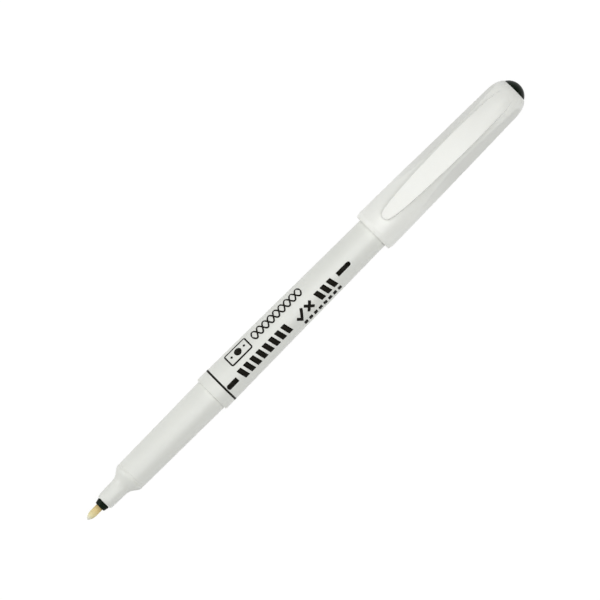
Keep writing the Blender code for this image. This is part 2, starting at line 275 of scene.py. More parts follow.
def soft_corners(points):
    """A section whose points may carry a third value, the size of the round that replaces that corner."""
    result = []
    for i, point in enumerate(points):
        corner = Vector(point[:2])
        if len(point) == 2:
            result.append(tuple(corner))
            continue
        before = Vector(points[i - 1][:2])
        after = Vector(points[(i + 1) % len(points)][:2])
        size = min(point[2], (before - corner).length / 2, (after - corner).length / 2)
        start = corner + (before - corner).normalized() * size
        end = corner + (after - corner).normalized() * size
        for j in range(CORNER_STEPS + 1):
            t = j / CORNER_STEPS
            result.append(tuple(start * (1 - t) ** 2 + corner * 2 * t * (1 - t) + end * t**2))
    return result


def steps(start, end, count):
    """Evenly spaced values from start to end. A count of 0 gives start alone."""
    return [start + (end - start) * i / max(1, count) for i in range(count + 1)]


def shell_from_rings(name, rings, closed):
    """A mesh through equal rings of (station, across, height) points: a tube, or capped at both ends."""
    rings = np.asarray(rings, float)
    count, segments = rings.shape[:2]
    corners = [place(*point) for point in rings.reshape(-1, 3)]
    faces = []
    for i in range(count if closed else count - 1):
        this, following = i * segments, (i + 1) % count * segments
        for j in range(segments):
            k = (j + 1) % segments
            faces.append((this + j, this + k, following + k, following + j))
    if not closed:
        for end in (0, count - 1):
            corners.append(place(*rings[end].mean(axis=0)))
            hub = len(corners) - 1
            for j in range(segments):
                faces.append((end * segments + j, end * segments + (j + 1) % segments, hub))
    mesh = bpy.data.meshes.new(name)
    mesh.from_pydata(corners, [], faces)
    return finished_object(name, mesh)


def finished_object(name, mesh):
    """Puts a mesh in the scene, facing outwards and smooth up to its sharp edges."""
    shape = bmesh.new()
    shape.from_mesh(mesh)
    bmesh.ops.recalc_face_normals(shape, faces=shape.faces)
    shape.to_mesh(mesh)
    shape.free()
    mesh.shade_smooth()
    mesh.set_sharp_from_angle(angle=SHARP_ANGLE)
    piece = bpy.data.objects.new(name, mesh)
    bpy.context.scene.collection.objects.link(piece)
    return piece


def ring_points(station, radii, turns):
    """A ring's (station, across, height) points, from one radius or from a radius at each angle."""
    return np.stack([np.full(len(turns), station), radii * np.sin(turns), radii * np.cos(turns)], axis=1)


def turned(name, section):
    """A solid of revolution. A section whose ends are on the axis is capped. Any other is a closed loop."""
    closed = section[0][1] > 0
    points = soft_corners(section)
    if not closed:
        points = points[1:-1]
    turns = np.arange(ROUND_SEGMENTS) * TAU / ROUND_SEGMENTS
    rings = [ring_points(station, radius, turns) for station, radius in points]
    return shell_from_rings(name, rings, closed)


def dress(piece, material, body, slot, *nodes):
    """Gives a piece its material, parents it to its body, and hides the CAD nodes it stands for."""
    piece.data.materials.append(material)
    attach(piece, body)
    if nodes:
        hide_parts(*nodes)
    return piece


# Materials


def new_material(name):
    material = bpy.data.materials.new(name)
    material.use_nodes = True
    tree = material.node_tree
    return material, tree, tree.nodes["Principled BSDF"]


def add(tree, kind, **values):
    """A node with these values. Each name is one of the node's settings, or else one of its inputs."""
    node = tree.nodes.new("ShaderNode" + kind)
    for name, value in values.items():
        if hasattr(node, name):
            setattr(node, name, value)
        else:
            node.inputs[name.replace("_", " ")].default_value = value
    return node


def object_coordinates(tree, scale=(1, 1, 1)):
    """Coordinates in metres that move with the piece, stretched by scale."""
    mapping = add(tree, "Mapping", Scale=scale)
    tree.links.new(add(tree, "TexCoord").outputs["Object"], mapping.inputs["Vector"])
    return mapping.outputs["Vector"]


def noise(tree, scale, detail=3.0, stretch=(1, 1, 1), roughness=0.5):
    node = add(tree, "TexNoise", Scale=scale, Detail=detail, Roughness=roughness)
    tree.links.new(object_coordinates(tree, stretch), node.inputs["Vector"])
    return node.outputs["Fac"]


def ramp(tree, factor, *stops):
    """A colour ramp through (position, colour or grey value) stops."""
    node = add(tree, "ValToRGB")
    elements = node.color_ramp.elements
    while len(elements) < len(stops):
        elements.new(1.0)
    for element, (position, value) in zip(elements, stops):
        element.position = position
        element.color = (*value, 1) if isinstance(value, tuple) else (value, value, value, 1)
    tree.links.new(factor, node.inputs["Fac"])
    return node.outputs["Color"]


def remap(tree, factor, low, high, source=(0.3, 0.7)):
    node = add(tree, "MapRange", From_Min=source[0], From_Max=source[1], To_Min=low, To_Max=high)
    tree.links.new(factor, node.inputs["Value"])
    return node.outputs["Result"]


def mix_colours(tree, factor, first, second, blend_type="MIX"):
    node = add(tree, "Mix", data_type="RGBA", blend_type=blend_type)
    for value, socket in ((factor, 0), (first, 6), (second, 7)):
        if isinstance(value, bpy.types.NodeSocket):
            tree.links.new(value, node.inputs[socket])
        else:
            node.inputs[socket].default_value = value
    return node.outputs[2]


def calculate(tree, operation, first, second):
    node = add(tree, "Math", operation=operation)
    for value, socket in ((first, 0), (second, 1)):
        if isinstance(value, bpy.types.NodeSocket):
            tree.links.new(value, node.inputs[socket])
        else:
            node.inputs[socket].default_value = value
    return node.outputs[0]


def bump(tree, shader, *layers):
    """Stacks (height, distance in metres, strength) layers into the shader's normal."""
    previous = None
    for height, distance, strength in layers:
        node = add(tree, "Bump", Distance=distance, Strength=strength)
        tree.links.new(height, node.inputs["Height"])
        if previous:
            tree.links.new(previous, node.inputs["Normal"])
        previous = node.outputs["Normal"]
    tree.links.new(previous, shader.inputs["Normal"])


def band(tree, station, half_width):
    """1 at this station, fading to 0 at half_width to either side."""
    split = add(tree, "SeparateXYZ")
    tree.links.new(object_coordinates(tree), split.inputs["Vector"])
    offset = calculate(tree, "SUBTRACT", split.outputs["X"], (station + NIB_TIP) * MM)
    distance = calculate(tree, "ABSOLUTE", offset, 0.0)
    return remap(tree, distance, 1.0, 0.0, source=(0.0, half_width * MM))


def side_flat_mask(tree):
    """1 on the cap's side flats, and 0 on the rest of its outside."""
    split = add(tree, "SeparateXYZ")
    tree.links.new(object_coordinates(tree), split.inputs["Vector"])
    before = calculate(tree, "SUBTRACT", (SIDE_FLAT_START + NIB_TIP) * MM, split.outputs["X"])
    run = calculate(tree, "MAXIMUM", before, 0.0)
    rise = calculate(tree, "DIVIDE", calculate(tree, "MULTIPLY", run, run), 2 * SIDE_FLAT_ARC_RADIUS * MM)
    sideways = calculate(tree, "ABSOLUTE", split.outputs["Y"], 0.0)
    height = calculate(tree, "SUBTRACT", split.outputs["Z"], AXIS_HEIGHT * MM)
    reach = calculate(
        tree,
        "ADD",
        calculate(tree, "MULTIPLY", sideways, math.sin(SIDE_FLAT_ANGLE)),
        calculate(tree, "MULTIPLY", height, math.cos(SIDE_FLAT_ANGLE)),
    )
    short = calculate(tree, "SUBTRACT", calculate(tree, "ADD", rise, SIDE_FLAT_DISTANCE * MM), reach)
    fade = remap(tree, before, 1.0, 0.0, source=(FLAT_FADE[0] * MM, FLAT_FADE[1] * MM))
    on_flat = remap(tree, short, 1.0, 0.0, source=(FLAT_MARGIN[0] * MM, FLAT_MARGIN[1] * MM))
    return calculate(tree, "MULTIPLY", fade, on_flat)


def white_plastic(name, colour, roughness, worn_stations=(), textured_and_shaded_flats=False):
    """Satin moulded plastic: faint flow marks, a fine spark texture, and slightly grubby, polished edges. The
    cap's side flats can also be rougher, with painted shade darkening their colour.
    """
    material, tree, shader = new_material(name)
    clouds = noise(tree, 90, detail=5)
    flow = noise(tree, 260, detail=4, stretch=(0.12, 1, 1))
    pale = tuple(min(1.0, c * 1.015) for c in colour)
    dull = tuple(c * 0.965 for c in colour)
    streaks = remap(tree, flow, 0.0, 1.0, (0.35, 0.65))
    mottled = ramp(tree, clouds, (0.3, dull), (0.7, pale))
    colour_out = mix_colours(tree, streaks, mottled, (*colour, 1))
    grain = noise(tree, 1900, detail=2)
    roughness_out = remap(tree, grain, roughness - 0.05, roughness + 0.06)
    for station in worn_stations:
        scuffs = remap(tree, noise(tree, 1400, detail=4, stretch=(1, 0.5, 0.5)), 0.0, 1.0, (0.42, 0.62))
        mask = calculate(tree, "MULTIPLY", band(tree, station, 0.7), scuffs)
        grubby = tuple(c * t for c, t in zip(colour, (0.93, 0.93, 0.90)))
        colour_out = mix_colours(tree, calculate(tree, "MULTIPLY", mask, 0.55), colour_out, (*grubby, 1))
        roughness_out = calculate(tree, "SUBTRACT", roughness_out, calculate(tree, "MULTIPLY", mask, 0.12))
    layers = [(clouds, 0.00012, 0.10), (noise(tree, 5200, detail=2), 0.000006, 0.35)]
    # On the side flats: painted shade darkens the colour, and the finish is rougher with a fine bump.
    if textured_and_shaded_flats:
        flats = side_flat_mask(tree)
        flat_painted_shade = tuple(c * FLAT_PAINTED_SHADE for c in colour)
        colour_out = mix_colours(tree, flats, colour_out, (*flat_painted_shade, 1))
        roughness_out = calculate(tree, "ADD", roughness_out, calculate(tree, "MULTIPLY", flats, 0.15))
        layers.append((calculate(tree, "MULTIPLY", flats, noise(tree, 3600, detail=3)), 0.00004, 0.5))
    tree.links.new(colour_out, shader.inputs["Base Color"])
    tree.links.new(roughness_out, shader.inputs["Roughness"])
    shader.inputs["Subsurface Weight"].default_value = 0.08
    shader.inputs["Subsurface Radius"].default_value = (1.0, 0.95, 0.85)
    shader.inputs["Subsurface Scale"].default_value = 0.0008
    bump(tree, shader, *layers)
    return material


def green_plastic(name, colour, roughness):
    """Almost black green plastic with a soft shine, fine grain and a few pale specks of dust."""
    material, tree, shader = new_material(name)
    clouds = noise(tree, 420, detail=4)
    lighter = tuple(c * 1.9 + 0.002 for c in colour)
    specks = remap(tree, noise(tree, 5200, detail=1), 0.0, 1.0, (0.70, 0.74))
    colour_out = mix_colours(
        tree, specks, ramp(tree, clouds, (0.35, colour), (0.75, lighter)), (0.10, 0.13, 0.115, 1)
    )
    tree.links.new(colour_out, shader.inputs["Base Color"])
    roughness_out = remap(tree, noise(tree, 2600), roughness - 0.06, roughness + 0.08)
    tree.links.new(roughness_out, shader.inputs["Roughness"])
    shader.inputs["Specular IOR Level"].default_value = 0.06
    bump(tree, shader, (clouds, 0.00004, 0.12), (noise(tree, 7000, detail=2), 0.000005, 0.4))
    return material


def fibre(name, stops, start, end, streak=0.35):
    """Bonded fibre that runs along the pen. Its colour changes between its start and end stations."""
    material, tree, shader = new_material(name)
    split = add(tree, "SeparateXYZ")
    tree.links.new(object_coordinates(tree), split.inputs["Vector"])
    ends = ((start + NIB_TIP) * MM, (end + NIB_TIP) * MM)
    along = remap(tree, split.outputs["X"], 0.0, 1.0, source=ends)
    strands = noise(tree, 9000, detail=4, stretch=(0.035, 1, 1), roughness=0.65)
    body_colour = ramp(tree, along, *stops)
    shade = ramp(tree, strands, (0.32, 1 - streak), (0.62, 1.0))
    tree.links.new(mix_colours(tree, 1.0, body_colour, shade, "MULTIPLY"), shader.inputs["Base Color"])
    tree.links.new(remap(tree, strands, 0.72, 0.95), shader.inputs["Roughness"])
    shader.inputs["Specular IOR Level"].default_value = 0.25
    bump(tree, shader, (strands, 0.00003, 0.7), (noise(tree, 6000), 0.00002, 0.25))
    return material


def film_plastic():
    """Thin glossy wrap with faint creases."""
    material, tree, shader = new_material("film_look")
    creases = noise(tree, 300, detail=5, stretch=(0.4, 1, 1))
    colour_out = ramp(tree, creases, (0.3, (0.74, 0.77, 0.80)), (0.7, (0.84, 0.86, 0.88)))
    tree.links.new(colour_out, shader.inputs["Base Color"])
    tree.links.new(remap(tree, creases, 0.14, 0.30), shader.inputs["Roughness"])
    bump(tree, shader, (creases, 0.00008, 0.5))
    return material


def print_ink():
    """Pad-printed black ink: dense, with a slightly uneven film and pinholes that show a little grey."""
    material, tree, shader = new_material("print_look")
    film = noise(tree, 3200, detail=4)
    pinholes = remap(tree, noise(tree, 9000, detail=1), 0.0, 1.0, (0.72, 0.78))
    ink = ramp(tree, film, (0.3, (0.005, 0.004, 0.002)), (0.75, (0.010, 0.009, 0.005)))
    colour_out = mix_colours(tree, pinholes, ink, (0.06, 0.06, 0.055, 1))
    tree.links.new(colour_out, shader.inputs["Base Color"])
    tree.links.new(remap(tree, film, 0.45, 0.65), shader.inputs["Roughness"])
    shader.inputs["Specular IOR Level"].default_value = 0.12
    bump(tree, shader, (film, 0.000012, 0.4))
    return material


WHITE = (0.762, 0.773, 0.729)
CAP_WHITE = (0.86, 0.868, 0.825)
LINER_WHITE = (0.76, 0.77, 0.75)
GREEN = (0.0050, 0.0095, 0.0050)
NIB_STOPS = (
    (0.00, (0.89, 0.90, 0.85)),
    (0.30, (0.86, 0.79, 0.46)),
    (0.75, (0.80, 0.63, 0.29)),
    (1.00, (0.50, 0.38, 0.17)),
)
RESERVOIR_STOPS = ((0.0, (0.66, 0.60, 0.42)), (0.3, (0.80, 0.78, 0.70)), (1.0, (0.82, 0.81, 0.77)))


# Pieces


def make_nib():
    point = []
    for station in steps(NIB_POINT_START, NIB_POINT_LENGTH, 18):
        fraction = 1 - (NIB_POINT_LENGTH - station) ** 2 / NIB_POINT_LENGTH**2
        point.append((station, NIB_RADIUS * fraction**NIB_POINT_POWER))
    rear = station_of("nib", 1)
    section = [
        (NIB_POINT_START, 0),
        *point,
        (HOLDER_FRONT, NIB_RADIUS),
        (rear, NIB_RADIUS, 0.1),
        (rear, 0),
    ]
    look = fibre("nib_look", NIB_STOPS, 0, HOLDER_FRONT, streak=0.2)
    dress(turned("nib_rod", section), look, "pen_body", "nib_fibre", "nib")


def make_nib_holder():
    section = [
        (HOLDER_FRONT, HOLDER_BORE_RADIUS),
        (HOLDER_FRONT, HOLDER_FRONT_RADIUS, 0.1),
        (HOLDER_BASE, HOLDER_BASE_RADIUS, 0.12),
        (HOLDER_BASE, HOLDER_STEM_RADIUS),
        (HOLDER_END, HOLDER_STEM_RADIUS, 0.1),
        (HOLDER_END, HOLDER_BORE_RADIUS),
    ]
    look = green_plastic("holder_look", GREEN, 0.38)
    dress(turned("nib_holder_cone", section), look, "pen_body", "holder_plastic", "nib_holder")


def flare_radius(station):
    fraction = ((station - FLARE_START) / (FLARE_END - FLARE_START)) ** FLARE_SKEW
    return NECK_RADIUS + (GRIP_FRONT_RADIUS - NECK_RADIUS) * (1 - math.cos(math.pi * fraction)) / 2


def make_front_section():
    """Neck, flare and grip, with a shallow groove ahead of the grip and a spigot behind it."""
    groove_front, floor_front, floor_rear = GRIP_GROOVE_OFFSETS
    section = [
        (NECK_FRONT, NECK_BORE_RADIUS, 0.08),
        (NECK_FRONT, NECK_FRONT_RADIUS, 0.3),
        (NECK_FRONT + NECK_TAPER_LENGTH, NECK_TAPER_RADIUS, 0.5),
        *[(station, flare_radius(station)) for station in steps(FLARE_START, FLARE_END, 28)],
        (GRIP_FRONT - groove_front, GRIP_FRONT_RADIUS, 0.04),
        (GRIP_FRONT - floor_front, GRIP_FRONT_RADIUS - GRIP_GROOVE_DEPTH, 0.03),
        (GRIP_FRONT - floor_rear, GRIP_FRONT_RADIUS - GRIP_GROOVE_DEPTH, 0.03),
        (GRIP_FRONT, GRIP_FRONT_RADIUS, 0.04),
        (GRIP_REAR, GRIP_REAR_RADIUS, 0.1),
        (GRIP_REAR, SPIGOT_RADIUS),
        (SPIGOT_END, SPIGOT_RADIUS, 0.3),
        (SPIGOT_END, SPIGOT_BORE_RADIUS, 0.1),
        (SPIGOT_BORE_START, SPIGOT_BORE_RADIUS, 0.5),
        (FLARE_END, NECK_BORE_RADIUS, 0.5),
    ]
    look = white_plastic("grip_look", WHITE, 0.42, worn_stations=(NECK_FRONT, FLARE_END + 0.2))
    dress(turned("grip_section", section), look, "pen_body", "grip_plastic", "front_section")


def barrel_radius(station):
    """The barrel's outside, which tapers evenly between the rounds at its ends."""
    taper_start = BARREL_FRONT + BARREL_RIM
    taper_end = BARREL_END - BARREL_REAR_ROUND
    change = (BARREL_REAR_RADIUS - BARREL_RADIUS) * (station - taper_start)
    return BARREL_RADIUS + change / (taper_end - taper_start)


def make_barrel():
    section = [
        (BARREL_BORE_END, 0),
        (BARREL_BORE_END, BARREL_BORE_RADII[1], 0.4),
        (BARREL_COUNTERBORE_END, BARREL_BORE_RADII[0]),
        (BARREL_COUNTERBORE_END, BARREL_COUNTERBORE_RADIUS),
        (BARREL_FRONT, BARREL_COUNTERBORE_RADIUS, 0.04),
        (BARREL_FRONT, BARREL_RADIUS, BARREL_RIM),
        (BARREL_END, BARREL_REAR_RADIUS, BARREL_REAR_ROUND),
        (BARREL_END, 0),
    ]
    look = white_plastic("barrel_look", WHITE, 0.40, worn_stations=(BARREL_FRONT + 0.1,))
    dress(turned("barrel_tube", section), look, "pen_body", "barrel_plastic", "barrel")


def cap_round_radius(station):
    """The cap's outside before its flats are cut: mouth lead-in, taper, then dome."""
    if station < CAP_WIDEST:
        fraction = (station - CAP_FRONT) / (CAP_WIDEST - CAP_FRONT)
        return CAP_FRONT_RADIUS + (CAP_RADIUS - CAP_FRONT_RADIUS) * fraction**LEAD_IN_POWER
    if station < CAP_TAPER_END:
        fraction = (station - CAP_WIDEST) / (CAP_TAPER_END - CAP_WIDEST)
        straight = CAP_RADIUS + (CAP_REAR_RADIUS - CAP_RADIUS) * fraction
        return straight + 4 * CAP_TAPER_CROWN * fraction * (1 - fraction)
    fraction = (station - CAP_TAPER_END) / DOME_LENGTH
    return CAP_REAR_RADIUS * (1 - fraction**DOME_POWER) ** (1 / DOME_POWER)


def soft_minimum(first, second, softness):
    """The smaller of two values, rounded over softness where they cross."""
    blend = np.clip(0.5 + (second - first) / (2 * softness), 0, 1)
    return second + (first - second) * blend - softness * blend * (1 - blend)


def flat_cut(turns, direction, distance):
    """Radius of a plane at this distance from the axis, where the plane faces this direction."""
    facing = np.cos(turns - direction)
    return np.where(facing > FLAT_LEAST_FACING, distance / np.maximum(facing, FLAT_LEAST_FACING), FAR_AWAY)


def side_flat_distance(station):
    """Distance from the axis to the side flats, which curve outwards towards the mouth."""
    return SIDE_FLAT_DISTANCE + max(0, SIDE_FLAT_START - station) ** 2 / (2 * SIDE_FLAT_ARC_RADIUS)


def cap_turns(station):
    """Angles of a ring's corners, spaced so that the same corners always lie on the ridges of the flats."""
    reach = min(1, side_flat_distance(station) / cap_round_radius(station))
    half_width = max(FLAT_LEAST_HALF_WIDTH, math.acos(reach))
    ridges = (0, SIDE_FLAT_ANGLE - half_width, SIDE_FLAT_ANGLE + half_width, math.pi)
    half_turn = np.interp(np.arange(CAP_SEGMENTS // 2), RIDGE_COLUMNS, ridges)
    way_back = np.interp(np.arange(CAP_SEGMENTS // 2, 0, -1), RIDGE_COLUMNS, ridges)
    return np.concatenate([half_turn, TAU - way_back])


def cap_radii(station, turns):
    """The cap's outside with its side flats cut, and the channel under the clip."""
    radii = np.full(len(turns), cap_round_radius(station))
    side_distance = side_flat_distance(station)
    for direction in (-SIDE_FLAT_ANGLE, SIDE_FLAT_ANGLE):
        radii = soft_minimum(radii, flat_cut(turns, direction, side_distance), FLAT_EDGE_SOFTNESS)
    channel = flat_cut(turns, 0, float(np.interp(station, *CHANNEL_FLOOR)))
    return soft_minimum(radii, channel, FLAT_EDGE_SOFTNESS)


def cap_stations():
    """Stations of the rings over the cap's outside: along the lead-in, the taper and the dome."""
    lead_in = [CAP_FRONT + (CAP_WIDEST - CAP_FRONT) * t for t in steps(0.0, 1.0, CAP_LEAD_IN_RINGS)[1:]]
    taper = steps(CAP_WIDEST, CAP_TAPER_END, int((CAP_TAPER_END - CAP_WIDEST) / CAP_STATION_STEP))[1:]
    quarter_turn = steps(0, math.pi / 2, CAP_DOME_RINGS)[1:]
    dome = [CAP_TAPER_END + (CAP_END - CAP_TAPER_END) * math.sin(t) for t in quarter_turn]
    return lead_in + taper + dome


def make_cap_shell():
    """Rings from the liner's seat out through the mouth, over the outside and into the plug's hole."""
    bore = [
        (LINER_SEAT_END, LINER_SEAT_RADIUS),
        (LINER_SEAT_START, LINER_SEAT_RADIUS, 0.5),
        (CAP_BORE_REAR, CAP_BORE_REAR_RADIUS, 0.8),
        (CAP_FRONT, CAP_BORE_RADIUS, 0.2),
        (CAP_FRONT, CAP_FRONT_RADIUS),
    ]
    hole = [
        (CAP_END, PLUG_HOLE_RADIUS),
        (CAP_END - PLUG_HOLE_DEPTH, PLUG_HOLE_RADIUS),
    ]
    rings = [ring_points(station, radius, cap_turns(CAP_FRONT)) for station, radius in soft_corners(bore)]
    for station in cap_stations():
        turns = cap_turns(station)
        rings.append(ring_points(station, cap_radii(station, turns), turns))
    rings += [ring_points(station, radius, cap_turns(CAP_END)) for station, radius in hole]
    look = white_plastic("cap_look", CAP_WHITE, 0.38, worn_stations=(CAP_FRONT + 0.3,), textured_and_shaded_flats=True)
    dress(shell_from_rings("cap_outer", rings, closed=False), look, "cap_body", "cap_plastic", "cap_shell")


def clip_half_width(station):
    """The clip seen from above is an ellipse squared off towards its tip, and rounded at the very tip."""
    fraction = min(1, abs(station - CLIP_CENTRE) / CLIP_HALF_LENGTH)
    inner_power, outer_power = CLIP_TIP_POWERS if station < CLIP_CENTRE else CLIP_REAR_POWERS
    rounding = 1 - (1 - min(1, (station - CLIP_TIP) / CLIP_TIP_ROUND)) ** 2
    width = CLIP_HALF_WIDTH * (1 - fraction**inner_power) ** outer_power
    return width * max(0.0, rounding) ** CLIP_TIP_ROUND_POWER


def clip_top(station):
    """Height of the clip's top: level at the tip, bending down, and sinking into the dome behind the root."""
    fraction = max(0, (station - CLIP_BEND_START) / (CLIP_ROOT - CLIP_BEND_START))
    free = CLIP_TOP - CLIP_ROOT_DROP * fraction**3
    sunk = min(1, max(0, (station - CLIP_MELT[0]) / (CLIP_MELT[1] - CLIP_MELT[0])))
    buried = cap_round_radius(station) - CLIP_MELT_DEPTH
    return free + (buried - free) * sunk * sunk * (3 - 2 * sunk)


def clip_ring(station):
    """The clip's section: a crowned top, round edges and a flat underside, thinned to a nose at the tip."""
    half = clip_half_width(station)
    nose = min(1, (station - CLIP_TIP) / CLIP_NOSE_LENGTH)
    share = (1 - (1 - nose) ** CLIP_NOSE_POWER) ** (1 / CLIP_NOSE_POWER)
    middle = clip_top(station) - CLIP_THICKNESS / 2
    top = middle + CLIP_THICKNESS / 2 * share
    bottom = middle - CLIP_THICKNESS / 2 * share - float(np.interp(station, *CLIP_ROOT_THICKENING))
    soft_edge = float(np.interp(station, CLIP_SOFT_ROOT, (CLIP_EDGE_RADIUS, 2 * CLIP_EDGE_RADIUS)))
    edge = min(soft_edge, half * 0.6, (top - bottom) * 0.45)
    crown = CLIP_CROWN + float(np.interp(station, CLIP_SOFT_ROOT, (0, CLIP_ROOT_CROWN)))
    right = []
    for t in steps(0, 1, 6)[:-1]:
        right.append(((half - edge) * t, top - crown * t**2 * share))
    shoulder = top - crown * share
    for turn in steps(0, math.pi / 2, 6):
        right.append((half - edge + edge * math.sin(turn), shoulder - edge + edge * math.cos(turn)))
    low_edge = edge * 0.5
    for turn in steps(0, math.pi / 2, 3):
        across = half - low_edge + low_edge * math.cos(turn)
        right.append((across, bottom + low_edge - low_edge * math.sin(turn)))
    right.append((half * 0.4, bottom))
    left = [(-across, height) for across, height in reversed(right[1:])]
    return [(station, across, height) for across, height in right + left]


def make_clip():
    """The tongue's root runs on under the dome."""
    first = CLIP_TIP + CLIP_FIRST_RING
    length = CLIP_BURIED_END - first
    rings = [clip_ring(first + length * t**CLIP_RING_POWER) for t in steps(0, 1, CLIP_RINGS)]
    clip = shell_from_rings("clip_tongue", rings, closed=False)
    clip.data.materials.append(white_plastic("clip_look", CAP_WHITE, 0.36, worn_stations=(CLIP_TIP + 0.6,)))
    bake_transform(clip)
    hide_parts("clip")


def make_cap_plug():
    """A stem with a cap of a sphere on it."""
    height = PLUG_DOME_END - PLUG_BASE
    sphere = (PLUG_BASE_RADIUS**2 + height**2) / (2 * height)
    widest = math.asin(PLUG_BASE_RADIUS / sphere)
    centre = PLUG_DOME_END - sphere
    dome = [(centre + sphere * math.cos(t), sphere * math.sin(t)) for t in steps(widest, 0.03, 16)]
    section = [
        (PLUG_STEM_START, 0),
        (PLUG_STEM_START, PLUG_STEM_RADIUS, 0.2),
        (PLUG_BASE, PLUG_STEM_RADIUS),
        (PLUG_BASE, PLUG_BASE_RADIUS - PLUG_BASE_BEVEL),
        *dome,
        (PLUG_DOME_END, 0),
    ]
    look = green_plastic("plug_look", GREEN, 0.30)
    dress(turned("end_plug", section), look, "cap_body", "plug_plastic", "cap_plug")


def make_liner():
    section = [
        (LINER_END - LINER_FLOOR, 0),
        (LINER_END - LINER_FLOOR, LINER_BORE_RADIUS, 0.3),
        (LINER_START + LINER_MOUTH_DEPTH, LINER_BORE_RADIUS, 0.4),
        (LINER_START, LINER_MOUTH_RADIUS, 0.08),
        (LINER_START, LINER_RADIUS, 0.12),
        (LINER_END, LINER_RADIUS, 0.3),
        (LINER_END, 0),
    ]
    look = white_plastic("liner_look", LINER_WHITE, 0.48)
    dress(turned("seal_liner", section), look, "cap_core", "liner_plastic", "inner_cap")


def improve_hidden_nodes():
    """The reservoir and its wrap stay as CAD nodes, with finished materials."""
    looks = {
        "ink_reservoir": fibre("reservoir_look", RESERVOIR_STOPS, 20, 60, streak=0.2),
        "reservoir_film": film_plastic(),
    }
    for node, look in looks.items():
        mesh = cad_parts[node].data
        mesh.materials.clear()
        mesh.materials.append(look)


# Print: flat outlines in (station, arc length), wrapped round the barrel


def bar_outline(start, end, low, high, start_round=0.0, end_round=None, slant=0.0):
    """A bar whose corners may be round. A slant moves its high side towards the cap."""
    if end_round is None:
        end_round = start_round
    corners = (
        (end, high, end_round),
        (start, high, start_round),
        (start, low, start_round),
        (end, low, end_round),
    )
    middle = ((start + end) / 2, (low + high) / 2)
    outline = []
    for i, (station, arc, rounding) in enumerate(corners):
        hub_station = station + math.copysign(rounding, middle[0] - station)
        hub_arc = arc + math.copysign(rounding, middle[1] - arc)
        for turn in steps(i * TAU / 4, (i + 1) * TAU / 4, 6 if rounding else 0):
            height = hub_arc + rounding * math.sin(turn)
            outline.append((hub_station + rounding * math.cos(turn) + slant * (height - middle[1]), height))
    return outline


def disc_outline(station, arc, radius):
    turns = [TAU * i / DISC_SIDES for i in range(DISC_SIDES)]
    return [(station + radius * math.cos(turn), arc + radius * math.sin(turn)) for turn in turns]


def strip_quads(first, second):
    """Quads between two lines of points."""
    return [(first[i], first[i + 1], second[i + 1], second[i]) for i in range(len(first) - 1)]


def frame_quads(start, end, low, high, rounding, width):
    """A band of this width just inside the outline of a bar with round corners."""
    outer = bar_outline(start, end, low, high, rounding)
    inner = bar_outline(start + width, end - width, low + width, high - width, rounding - width)
    return strip_quads([*outer, outer[0]], [*inner, inner[0]])


def braid_quads(start, end, arc, amplitude, loops, width):
    """Two strokes that swing across each other, as in the border of a banknote, joined where they meet."""
    rims = [[], [], [], []]
    for t in steps(0, 1, loops * 16):
        phase = math.pi * loops * t
        slope = amplitude * math.pi * loops / (end - start) * math.cos(phase)
        half = width / 2 * math.hypot(1, slope)
        swing = amplitude * abs(math.sin(phase))
        outside, inside = swing + half, max(0, swing - half)
        for rim, height in zip(rims, (outside, inside, -inside, -outside)):
            rim.append((start + (end - start) * t, arc + height))
    return strip_quads(rims[0], rims[1]) + strip_quads(rims[2], rims[3])


def tick_outline(station, arc, size, stroke):
    """A tick that stands with its long arm towards the cap. The clip's side is its top."""
    arms = ((-0.5, 0.05), (-0.15, 0.45), (0.5, -0.45))
    start, corner, end = (Vector((station + x * size, arc + y * size)) for x, y in arms)
    first = (corner - start).normalized()
    second = (end - corner).normalized()
    across_first = Vector((-first.y, first.x)) * stroke / 2
    across_second = Vector((-second.y, second.x)) * stroke / 2
    miter = (across_first + across_second).normalized()
    miter *= stroke / 2 / miter.dot(across_first.normalized())
    points = (start + across_first, corner + miter, end + across_second)
    points += (end - across_second, corner - miter, start - across_first)
    return [tuple(point) for point in points]


def cross_outline(station, arc, size, stroke):
    """Two strokes that cross at a right angle, as one outline."""
    arm, half = size / 2, stroke / 2
    outline = []
    for i in range(4):
        turn = TAU / 8 + i * TAU / 4
        for along, across in ((arm, -half), (arm, half), (half, half)):
            x = along * math.cos(turn) - across * math.sin(turn)
            y = along * math.sin(turn) + across * math.cos(turn)
            outline.append((station + x, arc + y))
    return outline


def wrap_round_barrel(name, outlines, material):
    """Prints these flat outlines on the barrel, as a closed film a little proud of it."""
    shape = bmesh.new()
    for outline in outlines:
        shape.faces.new([shape.verts.new((station, arc, 0)) for station, arc in outline])
    bmesh.ops.remove_doubles(shape, verts=shape.verts, dist=1e-4)
    arcs = [corner.co.y for corner in shape.verts]
    for i in range(int(min(arcs) / PRINT_CUT) - 1, int(max(arcs) / PRINT_CUT) + 2):
        geometry = [*shape.verts, *shape.edges, *shape.faces]
        bmesh.ops.bisect_plane(shape, geom=geometry, plane_co=(0, i * PRINT_CUT, 0), plane_no=(0, 1, 0))
    for corner in shape.verts:
        station, arc = corner.co.x, corner.co.y
        radius = barrel_radius(station) + PRINT_PROUD
        turn = arc / PRINT_RADIUS
        corner.co = place(station, radius * math.sin(turn), radius * math.cos(turn))
    bmesh.ops.recalc_face_normals(shape, faces=shape.faces)
    mesh = bpy.data.meshes.new(name)
    shape.to_mesh(mesh)
    shape.free()
    mesh.shade_smooth()
    piece = bpy.data.objects.new(name, mesh)
    bpy.context.scene.collection.objects.link(piece)
    film = piece.modifiers.new("film", "SOLIDIFY")
    film.thickness = PRINT_DEPTH * MM
    film.offset = 0
    dress(piece, material, "pen_body", "print_ink")


